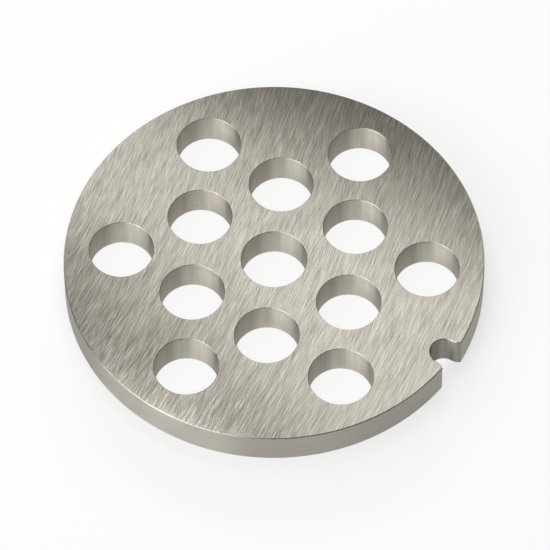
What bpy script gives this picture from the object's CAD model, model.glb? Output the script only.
"""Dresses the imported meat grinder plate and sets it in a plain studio."""

import logging
from dataclasses import dataclass, field
from enum import Enum
from functools import partial
from math import acos, atan2, cos, hypot, pi, radians, sin, tau
from typing import Any, Callable

import bmesh
import bpy
from mathutils import Matrix, Quaternion, Vector


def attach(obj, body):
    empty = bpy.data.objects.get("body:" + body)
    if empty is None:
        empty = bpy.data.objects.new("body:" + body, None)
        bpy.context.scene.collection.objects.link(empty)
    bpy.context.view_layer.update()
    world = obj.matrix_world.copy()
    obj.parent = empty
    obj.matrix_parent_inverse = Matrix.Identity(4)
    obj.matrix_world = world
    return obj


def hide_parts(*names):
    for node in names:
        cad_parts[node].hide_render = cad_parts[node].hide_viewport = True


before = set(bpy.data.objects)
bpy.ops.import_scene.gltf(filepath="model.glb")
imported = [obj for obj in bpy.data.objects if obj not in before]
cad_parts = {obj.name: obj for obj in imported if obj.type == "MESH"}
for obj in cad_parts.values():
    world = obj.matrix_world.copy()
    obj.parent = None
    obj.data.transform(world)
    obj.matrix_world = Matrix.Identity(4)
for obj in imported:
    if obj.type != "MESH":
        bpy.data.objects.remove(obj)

LOG = logging.getLogger("grinder_plate")
MM = 0.001
WELD = 0.001 * MM
WHITE = (1.0, 1.0, 1.0, 1.0)
UP_THE_WALL = (0.0, 0.0, 1.0)
Colour = tuple[float, float, float]
Socket = bpy.types.NodeSocket


class Finish(Enum):
    """The finishes of the plate, by their slot on the plate's mesh."""

    GROUND_FACE = 0
    BORED_WALL = 1
    TURNED_RIM = 2
    MILLED_NOTCH = 3
    BROKEN_EDGE = 4


class NodeBench:
    """Adds shader nodes to one material and joins them."""

    def __init__(self, material: bpy.types.Material) -> None:
        """Clears the material's nodes.

        Args:
            material: the material whose nodes are made.
        """
        material.use_nodes = True
        self.tree = material.node_tree
        self.tree.nodes.clear()

    def add(self, kind: str, **settings: Any) -> bpy.types.Node:
        """Adds one node.

        Args:
            kind: the node's type name.
            settings: attributes to set on the node.

        Returns:
            The new node.
        """
        node = self.tree.nodes.new(kind)
        for name, value in settings.items():
            setattr(node, name, value)
        return node

    def feed(self, socket: Socket, value: Any) -> None:
        """Joins a socket to another one, or sets its number or colour.

        Args:
            socket: the input to fill.
            value: an output socket, or a plain value.
        """
        if isinstance(value, Socket):
            self.tree.links.new(value, socket)
        else:
            socket.default_value = value

    def maths(self, operation: str, *values: Any) -> Socket:
        """Adds a Math node.

        Args:
            operation: the node's operation.
            values: its inputs, in order.

        Returns:
            The node's output.
        """
        node = self.add("ShaderNodeMath", operation=operation)
        for socket, value in zip(node.inputs, values):
            self.feed(socket, value)
        return node.outputs[0]

    def vector(self, x: Any, y: Any, z: Any) -> Socket:
        """Joins three numbers into a vector.

        Args:
            x: first number or socket.
            y: second number or socket.
            z: third number or socket.

        Returns:
            The vector's socket.
        """
        node = self.add("ShaderNodeCombineXYZ")
        for socket, value in zip(node.inputs, (x, y, z)):
            self.feed(socket, value)
        return node.outputs[0]

    def place(self) -> tuple[Socket, ...]:
        """Reads the point's place on the object.

        Returns:
            The sockets of x, y and z, in metres.
        """
        texture = self.add("ShaderNodeTexCoord")
        split = self.add("ShaderNodeSeparateXYZ")
        self.feed(split.inputs[0], texture.outputs["Object"])
        return tuple(split.outputs)

    def noise(self, x: Any, y: Any, z: Any, detail: float = 2.0) -> Socket:
        """Adds a noise that is centred on zero.

        Args:
            x: the first number or socket of the place that it reads.
            y: the second one.
            z: the third one.
            detail: its octaves.

        Returns:
            A socket that runs from about -0.5 to 0.5.
        """
        node = self.add("ShaderNodeTexNoise", noise_dimensions="3D")
        self.feed(node.inputs["Vector"], self.vector(x, y, z))
        self.feed(node.inputs["Scale"], 1.0)
        self.feed(node.inputs["Detail"], detail)
        return self.maths("SUBTRACT", node.outputs["Fac"], 0.5)

    def patches(self, size: float) -> Socket:
        """Adds a noise of even patches.

        Args:
            size: the patches' size, in millimetres.

        Returns:
            The noise's socket.
        """
        return self.noise(*(self.maths("DIVIDE", axis, size * MM) for axis in self.place()))

    def reach(self, dx: Any, dy: Any) -> Socket:
        """Works out a distance from its two parts.

        Args:
            dx: the part along X.
            dy: the part along Y.

        Returns:
            The distance's socket.
        """
        square = self.maths("MULTIPLY_ADD", dx, dx, self.maths("MULTIPLY", dy, dy))
        return self.maths("SQRT", square)

    def weigh(self, base: float, *terms: tuple[Socket, float]) -> Socket:
        """Adds weighed terms to a number.

        Args:
            base: the number to start from.
            terms: pairs of a socket and its weight.

        Returns:
            The sum's socket.
        """
        total: Any = base
        for socket, weight in terms:
            total = self.maths("MULTIPLY_ADD", socket, weight, total)
        return total

    def tint(self, colour: Colour, shade: Socket) -> Socket:
        """Scales a colour by a shade.

        Args:
            colour: the colour, linear.
            shade: the factor's socket.

        Returns:
            The colour's socket.
        """
        node = self.add("ShaderNodeVectorMath", operation="SCALE")
        node.inputs[0].default_value = colour
        self.feed(node.inputs["Scale"], shade)
        return node.outputs[0]

    def bump(self, height: Socket, distance: float, strength: float) -> Socket:
        """Turns a height into a normal.

        Args:
            height: the height's socket.
            distance: the depth of one unit of height, in millimetres.
            strength: the share of it that shows.

        Returns:
            The normal's socket.
        """
        node = self.add("ShaderNodeBump")
        self.feed(node.inputs["Height"], height)
        self.feed(node.inputs["Distance"], distance * MM)
        self.feed(node.inputs["Strength"], strength)
        return node.outputs[0]

    def steel(
        self,
        colour: Any,
        roughness: Any,
        normal: Socket | None = None,
        stretch: float = 0.0,
        across: Socket | None = None,
    ) -> None:
        """Ends the material in a bare metal surface.

        Args:
            colour: the base colour.
            roughness: the surface's roughness.
            normal: the normal's socket, where lines or rings stand in relief.
            stretch: how far those lines spread the gloss.
            across: the socket of the direction across the lines.
        """
        shader = self.add("ShaderNodeBsdfPrincipled")
        self.feed(shader.inputs["Metallic"], 1.0)
        self.feed(shader.inputs["Base Color"], colour)
        self.feed(shader.inputs["Roughness"], roughness)
        if normal is not None:
            self.feed(shader.inputs["Normal"], normal)
        if across is not None:
            self.feed(shader.inputs["Anisotropic"], stretch)
            self.feed(shader.inputs["Tangent"], across)
        self.show(shader.outputs[0])

    def show(self, shader: Socket) -> None:
        """Sends a shader to the material's output.

        Args:
            shader: the shader's socket.
        """
        self.feed(self.add("ShaderNodeOutputMaterial").inputs["Surface"], shader)


@dataclass(frozen=True)
class GrindingLines:
    """One set of grinding lines.

    Width and length are in millimetres and lean is in degrees. Shade, gloss and depth are how
    strongly the lines change the colour, the roughness and the height.
    """

    width: float
    length: float
    lean: float
    shade: float
    gloss: float
    depth: float


@dataclass(frozen=True)
class GroundSteel:
    """Steel faced on a large wheel, which leaves fine arcs across the whole plate.

    Sizes are in millimetres and angles in degrees. The scatter sets each line apart from the next,
    and the side step sets the underside's lines apart from the top's.
    """

    name: str = "ground_steel"
    colour: Colour = (0.56, 0.532, 0.462)
    roughness: float = 0.23
    stretch: float = 0.95
    arc_radius: float = 250.0
    arc_turn: float = 192.3
    scatter: float = 7.37
    side_step: float = 0.6
    line_detail: float = 1.0
    line_depth: float = 0.006
    relief: float = 0.4
    cloud: float = 9.0
    cloud_shade: float = 0.15
    cloud_gloss: float = 0.05
    sets: tuple[GrindingLines, ...] = (
        GrindingLines(width=0.07, length=4.2, lean=0.0, shade=1.45, gloss=0.05, depth=1.0),
        GrindingLines(width=0.08, length=2.6, lean=7.0, shade=1.00, gloss=0.04, depth=0.8),
        GrindingLines(width=0.08, length=5.0, lean=-6.0, shade=1.00, gloss=0.04, depth=0.8),
    )

    def make(self) -> bpy.types.Material:
        """Makes the material.

        Returns:
            The finished material.
        """
        material = bpy.data.materials.new(self.name)
        bench = NodeBench(material)
        place = bench.place()
        across, *_ = self._arcs(bench, place, 0.0)
        lines = [(self._lines(bench, place, group), group) for group in self.sets]
        cloud = bench.patches(self.cloud)
        shades = [(line, group.shade) for line, group in lines]
        glosses = [(line, group.gloss) for line, group in lines]
        depths = [(line, group.depth) for line, group in lines]
        shade = bench.weigh(1.0, (cloud, self.cloud_shade), *shades)
        rough = bench.weigh(self.roughness, (cloud, self.cloud_gloss), *glosses)
        normal = bench.bump(bench.weigh(0.0, *depths), self.line_depth, self.relief)
        bench.steel(bench.tint(self.colour, shade), rough, normal, self.stretch, across)
        return material

    def _arcs(
        self, bench: NodeBench, place: tuple[Socket, ...], lean: float
    ) -> tuple[Socket, Socket, Socket]:
        """Works out where a point lies on the grinding wheel's arcs.

        Args:
            bench: where the nodes go.
            place: the sockets of x, y and z.
            lean: how far these arcs lean from the main ones, in degrees.

        Returns:
            The direction across the arcs, the distance across them and the distance along them.
        """
        turn = radians(self.arc_turn + lean)
        dx = bench.maths("SUBTRACT", place[0], cos(turn) * self.arc_radius * MM)
        dy = bench.maths("SUBTRACT", place[1], sin(turn) * self.arc_radius * MM)
        reach = bench.reach(dx, dy)
        run = bench.maths("MULTIPLY", bench.maths("ARCTAN2", dy, dx), self.arc_radius * MM)
        across = bench.vector(
            bench.maths("DIVIDE", dx, reach), bench.maths("DIVIDE", dy, reach), 0.0
        )
        return across, reach, run

    def _lines(
        self, bench: NodeBench, place: tuple[Socket, ...], group: GrindingLines
    ) -> Socket:
        """Makes one set of lines, each with its own strength that changes slowly along it.

        Args:
            bench: where the nodes go.
            place: the sockets of x, y and z.
            group: the lines' sizes.

        Returns:
            The set's socket.
        """
        _, reach, run = self._arcs(bench, place, group.lean)
        line = bench.maths("FLOOR", bench.maths("DIVIDE", reach, group.width * MM))
        apart = bench.maths("MULTIPLY", line, self.scatter)
        along = bench.maths("DIVIDE", run, group.length * MM)
        side = bench.maths("DIVIDE", place[2], self.side_step * MM)
        return bench.noise(apart, along, side, self.line_detail)


@dataclass(frozen=True)
class CutSteel:
    """Steel left by a boring or turning tool, which goes round the wall in fine rings.

    Sizes are in millimetres. Rings gather in broad bands, and faint streaks may run down the wall.
    """

    name: str
    colour: Colour
    roughness: float
    stretch: float = 1.0
    ring_height: float = 0.11
    ring_length: float = 5.0
    ring_shade: float = 0.5
    ring_gloss: float = 0.12
    ring_depth: float = 0.006
    relief: float = 0.5
    rings_per_band: float = 9.0
    band_shade: float = 0.15
    band_gloss: float = 0.06
    streak_width: float = 0.45
    streak_length: float = 9.0
    streak_shade: float = 0.0

    def make(self) -> bpy.types.Material:
        """Makes the material.

        Returns:
            The finished material.
        """
        material = bpy.data.materials.new(self.name)
        bench = NodeBench(material)
        place = bench.place()
        rings = self._grain(bench, place, self.ring_length, self.ring_height)
        bands = self._grain(bench, place, self.ring_length, self.ring_height * self.rings_per_band)
        shades = [(rings, self.ring_shade), (bands, self.band_shade)]
        if self.streak_shade:
            streaks = self._grain(bench, place, self.streak_width, self.streak_length)
            shades.append((streaks, self.streak_shade))
        colour = bench.tint(self.colour, bench.weigh(1.0, *shades))
        rough = bench.weigh(self.roughness, (rings, self.ring_gloss), (bands, self.band_gloss))
        normal = bench.bump(rings, self.ring_depth, self.relief)
        bench.steel(colour, rough, normal, self.stretch, bench.vector(*UP_THE_WALL))
        return material

    def _grain(
        self, bench: NodeBench, place: tuple[Socket, ...], width: float, height: float
    ) -> Socket:
        """Makes a grain that is drawn out round the wall or down it.

        Args:
            bench: where the nodes go.
            place: the sockets of x, y and z.
            width: the grain's size round the wall, in millimetres.
            height: its size up the wall, in millimetres.

        Returns:
            The grain's socket.
        """
        sizes = (width * MM, width * MM, height * MM)
        return bench.noise(*(bench.maths("DIVIDE", *pair) for pair in zip(place, sizes)))


@dataclass(frozen=True)
class BrightEdge:
    """Bare steel where a file or a stone has taken the sharp edge off. Patches in millimetres."""

    name: str = "bright_edge"
    colour: Colour = (0.38, 0.364, 0.328)
    roughness: float = 0.28
    patch: float = 1.5
    patch_shade: float = 0.6
    patch_gloss: float = 0.2

    def make(self) -> bpy.types.Material:
        """Makes the material.

        Returns:
            The finished material.
        """
        material = bpy.data.materials.new(self.name)
        bench = NodeBench(material)
        patches = bench.patches(self.patch)
        shade = bench.weigh(1.0, (patches, self.patch_shade))
        rough = bench.weigh(self.roughness, (patches, self.patch_gloss))
        bench.steel(bench.tint(self.colour, shade), rough)
        return material


@dataclass(frozen=True)
class PaleFloor:
    """A pale light table that keeps the plate's soft shadow and glows more under the plate.

    The glow is the share of white that the camera, the gloss and glass see. It changes between the
    two radii given as under, in millimetres.
    """

    name: str = "pale_floor"
    colour: Colour = (0.75, 0.75, 0.75)
    glow: float = 0.60
    glow_under: float = 0.86
    under: tuple[float, float] = (28.0, 31.0)

    def make(self) -> bpy.types.Material:
        """Makes the material.

        Returns:
            The finished material.
        """
        material = bpy.data.materials.new(self.name)
        bench = NodeBench(material)
        matt = bench.add("ShaderNodeBsdfDiffuse")
        bench.feed(matt.inputs["Color"], (*self.colour, 1.0))
        white = bench.add("ShaderNodeEmission")
        bench.feed(white.inputs["Strength"], 1.0)
        path = bench.add("ShaderNodeLightPath")
        seen = bench.maths("MAXIMUM", path.outputs["Is Camera Ray"], path.outputs["Is Glossy Ray"])
        seen = bench.maths("MAXIMUM", seen, path.outputs["Is Transmission Ray"])
        x, y, _ = bench.place()
        fade = bench.add("ShaderNodeMapRange", interpolation_type="SMOOTHSTEP")
        near, far = (edge * MM for edge in self.under)
        settings = (bench.reach(x, y), near, far, self.glow_under, self.glow)
        for socket, value in zip(fade.inputs, settings):
            bench.feed(socket, value)
        mix = bench.add("ShaderNodeMixShader")
        bench.feed(mix.inputs[0], bench.maths("MULTIPLY", seen, fade.outputs["Result"]))
        bench.feed(mix.inputs[1], matt.outputs[0])
        bench.feed(mix.inputs[2], white.outputs[0])
        bench.show(mix.outputs[0])
        return material


@dataclass(frozen=True)
class LocatingNotch:
    """The notch on +X: a half-round seat whose lips are arcs that flare open to the rim.

    Sizes are in metres.
    """

    width: float = 4.2 * MM
    depth: float = 3.5 * MM
    lip: float = 2.0 * MM
    seat_steps: int = 48
    lip_steps: int = 16

    def draw(self, mesh: bmesh.types.BMesh, rim: float, inset: float, height: float) -> Vector:
        """Draws the notch's edges, moved into the steel by an even distance.

        Args:
            mesh: the plate's mesh, to which the edges go.
            rim: the plate's radius.
            inset: how far the edges stand back from the notch's true outline.
            height: their height.

        Returns:
            The point where the upper lip meets the rim.
        """
        seat, lip, lip_y = self.width / 2 + inset, self.lip - inset, self.width / 2 + self.lip
        middle = rim - self.depth + self.width / 2
        turn = self._lip_turn(middle, lip_y, lip, rim - inset)
        for side in (1, -1):
            start = Vector((middle, side * seat, height))
            hinge = Vector((middle, side * lip_y, height))
            sweep_edge(mesh, start, hinge, side * turn, self.lip_steps)
        start = Vector((middle, seat, height))
        sweep_edge(mesh, start, Vector((middle, 0.0, height)), pi, self.seat_steps)
        return Vector((middle + lip * sin(turn), lip_y - lip * cos(turn), height))

    @staticmethod
    def _lip_turn(middle: float, lip_y: float, lip: float, rim: float) -> float:
        """Works out the lip's arc from the plate's centre, the lip's centre and where they meet.

        Args:
            middle: how far out the lip's centre is, along X.
            lip_y: how far to the side it is.
            lip: the lip's radius.
            rim: the radius of the rim's edge.

        Returns:
            The angle that the lip's arc turns through.
        """
        away = hypot(middle, lip_y)
        corner = acos((away**2 + lip**2 - rim**2) / (2 * away * lip))
        return corner - atan2(middle, lip_y)


def sweep_edge(
    mesh: bmesh.types.BMesh, start: Vector, centre: Vector, angle: float, steps: int
) -> None:
    """Sweeps a point round a centre, which leaves an arc of edges.

    Args:
        mesh: the mesh that the arc goes to.
        start: where the arc starts.
        centre: the arc's centre.
        angle: how far it turns, anticlockwise from above.
        steps: how many edges it has.
    """
    point = bmesh.ops.create_vert(mesh, co=start)["vert"][0]
    bmesh.ops.spin(
        mesh, geom=[point], cent=centre, axis=(0, 0, 1), angle=angle, steps=steps, use_merge=False
    )


@dataclass
class GrinderPlate:
    """The one-piece plate.

    Sizes are in metres and the pattern's turn is in degrees. The ring shares are the radii of the
    rings of holes, as shares of the plate's. The last four numbers tell the faces apart: how far a
    face and a broken edge look up or down, and how near a wall stands to the rim or to its hole.
    """

    finishes: dict[Finish, Any]
    radius: float = 30.99 * MM
    thickness: float = 5.4 * MM
    rim_edge: float = 0.12 * MM
    hole_edge: float = 0.07 * MM
    bore: float = 4.85 * MM
    hole: float = 4.75 * MM
    holes_per_ring: int = 6
    pattern_turn: float = -1.6
    ring_shares: tuple[float, float] = (0.429, 0.729)
    rim_steps: int = 300
    hole_steps: int = 96
    notch: LocatingNotch = field(default_factory=LocatingNotch)
    flat_face: float = 0.9
    leaning_edge: float = 0.1
    near_rim: float = 0.9995
    near_hole: float = 1.01

    def centres(self) -> list[Vector]:
        """Lists the meat holes' centres.

        Returns:
            The centres of the inner ring, then of the outer one, which stands half a step round.
        """
        centres = []
        for ring, share in enumerate(self.ring_shares):
            for hole in range(self.holes_per_ring):
                angle = radians(self.pattern_turn) + tau / self.holes_per_ring * (hole + ring / 2)
                centres.append(Vector((cos(angle), sin(angle), 0.0)) * self.radius * share)
        return centres

    def build(self) -> bpy.types.Object:
        """Builds and dresses the plate.

        Returns:
            The finished object.
        """
        mesh = bmesh.new()
        bores = [(Vector(), self.bore)] + [(centre, self.hole) for centre in self.centres()]
        loops = [self._stack(mesh, self.rim_edge, self._outline)]
        for centre, radius in bores:
            loops.append(self._stack(mesh, self.hole_edge, partial(self._circle, centre, radius)))
        for end in (0, -1):
            rings = [edge for stack in loops for edge in stack[end]]
            bmesh.ops.triangle_fill(mesh, use_beauty=True, edges=rings, normal=(0, 0, 1))
        bmesh.ops.recalc_face_normals(mesh, faces=mesh.faces[:])
        self._sort_faces(mesh, bores)
        data = bpy.data.meshes.new("plate_body")
        mesh.to_mesh(data)
        mesh.free()
        plate = bpy.data.objects.new("plate_body", data)
        bpy.context.scene.collection.objects.link(plate)
        for finish in Finish:
            data.materials.append(self.finishes[finish].make())
        return plate

    def _stack(
        self, mesh: bmesh.types.BMesh, edge: float, draw: Callable[..., None]
    ) -> list[list[bmesh.types.BMEdge]]:
        """Makes one wall with a broken edge at its foot and its top.

        Args:
            mesh: the mesh that it goes to.
            edge: the width and the height of the broken edges.
            draw: draws the wall's outline at an inset and a height.

        Returns:
            The four loops of edges, from the underside up.
        """
        loops = []
        top = self.thickness
        for inset, height in ((edge, 0.0), (0.0, edge), (0.0, top - edge), (edge, top)):
            old_edges, old_points = set(mesh.edges), set(mesh.verts)
            draw(mesh, inset, height)
            points = [point for point in mesh.verts if point not in old_points]
            bmesh.ops.remove_doubles(mesh, verts=points, dist=WELD)
            loops.append([line for line in mesh.edges if line not in old_edges])
        for lower, upper in zip(loops, loops[1:]):
            bmesh.ops.bridge_loops(mesh, edges=lower + upper)
        return loops

    def _outline(self, mesh: bmesh.types.BMesh, inset: float, height: float) -> None:
        """Draws the rim and the notch as one closed loop.

        Args:
            mesh: the mesh that it goes to.
            inset: how far it stands in from the true outline.
            height: its height.
        """
        corner = self.notch.draw(mesh, self.radius, inset, height)
        mouth = atan2(corner.y, corner.x)
        sweep_edge(mesh, corner, Vector((0.0, 0.0, height)), tau - 2 * mouth, self.rim_steps)

    def _circle(
        self, centre: Vector, radius: float, mesh: bmesh.types.BMesh, inset: float, height: float
    ) -> None:
        """Draws one hole's circle.

        Args:
            centre: the hole's centre, in the plane of the underside.
            radius: its radius.
            mesh: the mesh that it goes to.
            inset: how far the circle stands out from the hole's wall.
            height: its height.
        """
        place = Matrix.Translation(centre + Vector((0.0, 0.0, height)))
        bmesh.ops.create_circle(
            mesh, cap_ends=False, segments=self.hole_steps, radius=radius + inset, matrix=place
        )

    def _sort_faces(self, mesh: bmesh.types.BMesh, bores: list[tuple[Vector, float]]) -> None:
        """Gives each face its finish, and keeps the lines between two finishes crisp.

        Args:
            mesh: the plate's mesh.
            bores: the centre and the radius of each hole.
        """
        for face in mesh.faces:
            face.smooth = True
            middle = face.calc_center_median()
            flat = Vector((middle.x, middle.y, 0.0))
            if abs(face.normal.z) > self.flat_face:
                finish = Finish.GROUND_FACE
            elif abs(face.normal.z) > self.leaning_edge:
                finish = Finish.BROKEN_EDGE
            elif flat.length > self.radius * self.near_rim:
                finish = Finish.TURNED_RIM
            elif any((flat - centre).length < radius * self.near_hole for centre, radius in bores):
                finish = Finish.BORED_WALL
            else:
                finish = Finish.MILLED_NOTCH
            face.material_index = finish.value
        for line in mesh.edges:
            line.smooth = len({face.material_index for face in line.link_faces}) == 1


@dataclass
class Lamp:
    """A soft panel that faces the plate.

    Sizes are in metres. Turn and height are in degrees from the camera's own side and the floor,
    and roll is in degrees. At level 1 the panel looks white.
    """

    name: str
    turn: float
    height: float
    size: tuple[float, float]
    level: float
    distance: float = 0.60
    roll: float = 0.0


@dataclass
class Studio:
    """Floor, lamps, world and camera.

    The camera's distance is in units of the plate's radius, its lens and frame in pixels, and its
    angles in degrees: pan and tilt look past the plate's centre, and roll leans the frame.
    """

    lamps: tuple[Lamp, ...]
    unit: float = 31.0 * MM
    lens_px: float = 6000.0
    frame_px: int = 550
    sensor_mm: float = 36.0
    clip: tuple[float, float] = (0.01, 10.0)
    turn: float = 33.3
    elevation: float = 57.05
    roll: float = -0.43
    distance: float = 28.65
    pan: float = 0.008
    tilt: float = 0.040
    world: float = 0.19
    floor_half: float = 1.5
    floor_gap: float = 0.02 * MM
    floor: PaleFloor = field(default_factory=PaleFloor)

    def outward(self, turn: float, height: float) -> Vector:
        """Finds a direction seen from the plate.

        Args:
            turn: degrees anticlockwise from the camera's own side.
            height: degrees above the floor.

        Returns:
            The direction's unit vector.
        """
        round_by, up_by = radians(self.turn + turn), radians(height)
        return Vector((sin(round_by) * cos(up_by), -cos(round_by) * cos(up_by), sin(up_by)))

    def set_up(self) -> None:
        """Makes the floor, the world, the lamps and the camera."""
        self._lay_floor()
        self._light()
        self._place_camera()
        bpy.context.scene.view_settings.view_transform = "Standard"

    def _lay_floor(self) -> None:
        """Lays the floor just under the plate."""
        mesh = bmesh.new()
        bmesh.ops.create_grid(mesh, x_segments=1, y_segments=1, size=self.floor_half)
        bmesh.ops.translate(mesh, verts=mesh.verts[:], vec=(0, 0, -self.floor_gap))
        data = bpy.data.meshes.new("floor")
        mesh.to_mesh(data)
        mesh.free()
        data.materials.append(self.floor.make())
        floor = bpy.data.objects.new("floor", data)
        bpy.context.scene.collection.objects.link(floor)

    def _light(self) -> None:
        """Sets the world's level and hangs the lamps."""
        world = bpy.data.worlds.new("studio")
        bpy.context.scene.world = world
        world.use_nodes = True
        sky = world.node_tree.nodes["Background"]
        sky.inputs["Color"].default_value = WHITE
        sky.inputs["Strength"].default_value = self.world
        for lamp in self.lamps:
            data = bpy.data.lights.new(lamp.name, "AREA")
            data.shape = "RECTANGLE"
            data.size, data.size_y = lamp.size
            data.energy = lamp.level * pi * lamp.size[0] * lamp.size[1]
            panel = bpy.data.objects.new(lamp.name, data)
            bpy.context.scene.collection.objects.link(panel)
            panel.visible_camera = False
            panel.location = self.outward(lamp.turn, lamp.height) * lamp.distance
            panel.rotation_mode = "QUATERNION"
            facing = panel.location.to_track_quat("Z", "Y")
            rolled = Quaternion((0.0, 0.0, 1.0), radians(lamp.roll))
            panel.rotation_quaternion = facing @ rolled

    def _place_camera(self) -> None:
        """Places the camera, which looks a little past the plate's centre."""
        back = self.outward(0.0, self.elevation)
        right = Vector((cos(radians(self.turn)), sin(radians(self.turn)), 0.0))
        up = back.cross(right)
        pan, tilt = radians(self.pan), radians(self.tilt)
        ahead = -back * cos(pan) + right * sin(pan)
        side = right * cos(pan) + back * sin(pan)
        look = ahead * cos(tilt) + up * sin(tilt)
        rise = up * cos(tilt) - ahead * sin(tilt)
        lean = radians(self.roll)
        across = side * cos(lean) + rise * sin(lean)
        above = rise * cos(lean) - side * sin(lean)
        data = bpy.data.cameras.new("camera")
        data.sensor_width = self.sensor_mm
        data.lens = self.lens_px / self.frame_px * data.sensor_width
        data.clip_start, data.clip_end = self.clip
        camera = bpy.data.objects.new("camera", data)
        bpy.context.scene.collection.objects.link(camera)
        turned = Matrix((across, above, -look)).transposed().to_4x4()
        turned.translation = back * self.distance * self.unit
        camera.matrix_world = turned
        bpy.context.scene.camera = camera


def plate_finishes() -> dict[Finish, Any]:
    """Chooses the plate's finishes.

    Returns:
        The material recipe of each finish.
    """
    bored = CutSteel(
        name="bored_steel",
        colour=(0.54, 0.51, 0.445),
        roughness=0.50,
        ring_shade=0.40,
        streak_shade=0.30,
    )
    turned = CutSteel(name="turned_steel", colour=(0.45, 0.428, 0.38), roughness=0.38)
    milled = CutSteel(name="milled_steel", colour=(0.34, 0.322, 0.282), roughness=0.50)
    return {
        Finish.GROUND_FACE: GroundSteel(),
        Finish.BORED_WALL: bored,
        Finish.TURNED_RIM: turned,
        Finish.MILLED_NOTCH: milled,
        Finish.BROKEN_EDGE: BrightEdge(),
    }


def studio_lamps() -> tuple[Lamp, ...]:
    """Chooses the studio's lamps.

    Returns:
        The small key lamps close by, then the wide ones further off.
    """
    return (
        Lamp(
            "key_right",
            turn=164.2,
            height=62.0,
            distance=0.203,
            size=(0.080, 0.048),
            level=1.18,
            roll=-25.8,
        ),
        Lamp(
            "key_left",
            turn=196.0,
            height=50.2,
            distance=0.204,
            size=(0.055, 0.028),
            level=1.12,
            roll=-25.8,
        ),
        Lamp(
            "key_skirt",
            turn=204.2,
            height=69.4,
            distance=0.208,
            size=(0.080, 0.030),
            level=6.8,
            roll=-40.0,
        ),
        Lamp("overhead", turn=0.0, height=90.0, size=(0.48, 0.48), level=1.50),
        Lamp("back", turn=180.0, height=25.0, size=(0.50, 0.18), level=7.0),
        Lamp("front_left", turn=-36.0, height=30.0, size=(0.36, 0.40), level=2.30),
        Lamp("left", turn=-66.0, height=30.0, size=(0.36, 0.40), level=2.30),
        Lamp("front_high", turn=-4.0, height=62.0, size=(0.50, 0.20), level=3.00),
    )


def main() -> None:
    """Builds the plate, then the studio, and keeps both boxes."""
    logging.basicConfig(level=logging.INFO, format="%(name)s: %(message)s")
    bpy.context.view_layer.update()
    plate = GrinderPlate(finishes=plate_finishes()).build()
    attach(plate, "root")
    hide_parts("grinder_plate")
    LOG.info("plate: %d faces", len(plate.data.polygons))
    studio = Studio(lamps=studio_lamps())
    studio.set_up()
    LOG.info("studio: floor, %d lamps, camera", len(studio.lamps))


if __name__ == "__main__":
    main()
